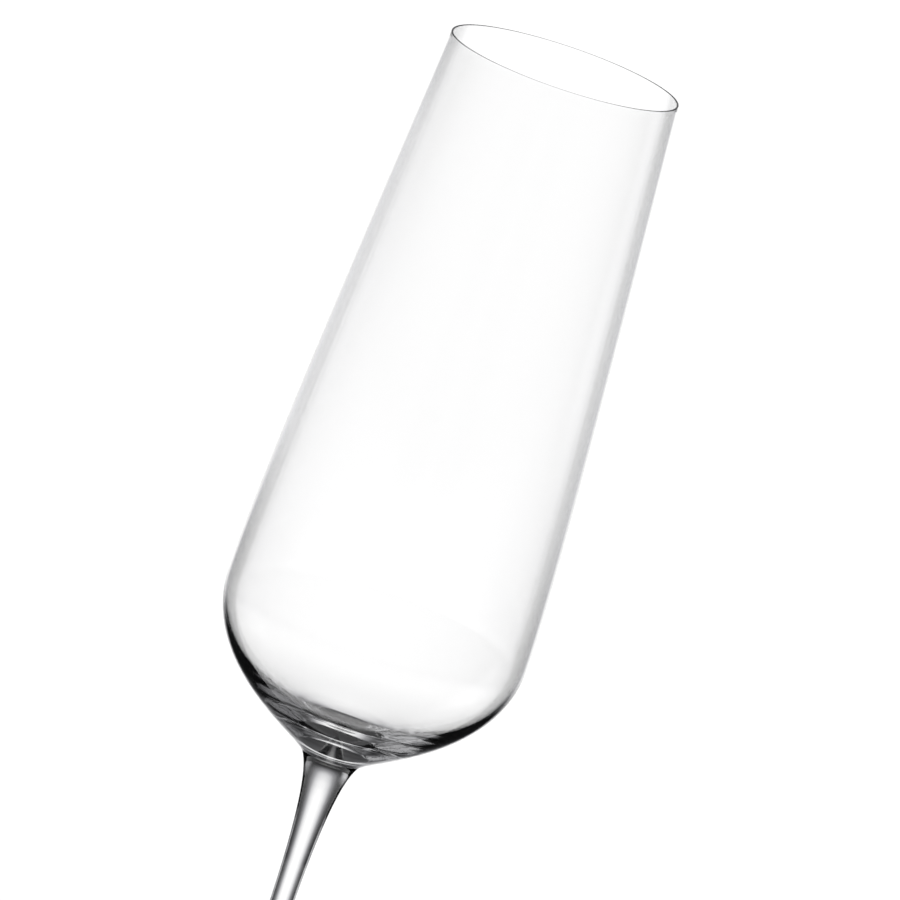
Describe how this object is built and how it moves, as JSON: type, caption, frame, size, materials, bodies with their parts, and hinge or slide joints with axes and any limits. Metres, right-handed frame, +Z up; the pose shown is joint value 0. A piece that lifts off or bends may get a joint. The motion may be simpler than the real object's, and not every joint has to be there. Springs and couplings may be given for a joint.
{
  "type": "champagne flute",
  "caption": "Clear stemmed flute: a tall open bowl that tapers to the rim, on a drawn stem and a round foot.",
  "frame": {"origin": "centre of the foot, on the plane that the foot rests on", "axes": "+Z up along the axis of the stem and bowl; X and Y are free, because every piece is turned about Z"},
  "size_m": [0.07, 0.07, 0.24],
  "materials": {
    "bowl_glass": "clear, polished, rim cut level and polished",
    "stem_glass": "clear, polished",
    "foot_glass": "clear, polished"
  },
  "bodies": {
    "root": {"bowl": "bowl_glass", "stem": "stem_glass", "foot": "foot_glass"}
  },
  "joints": []
}
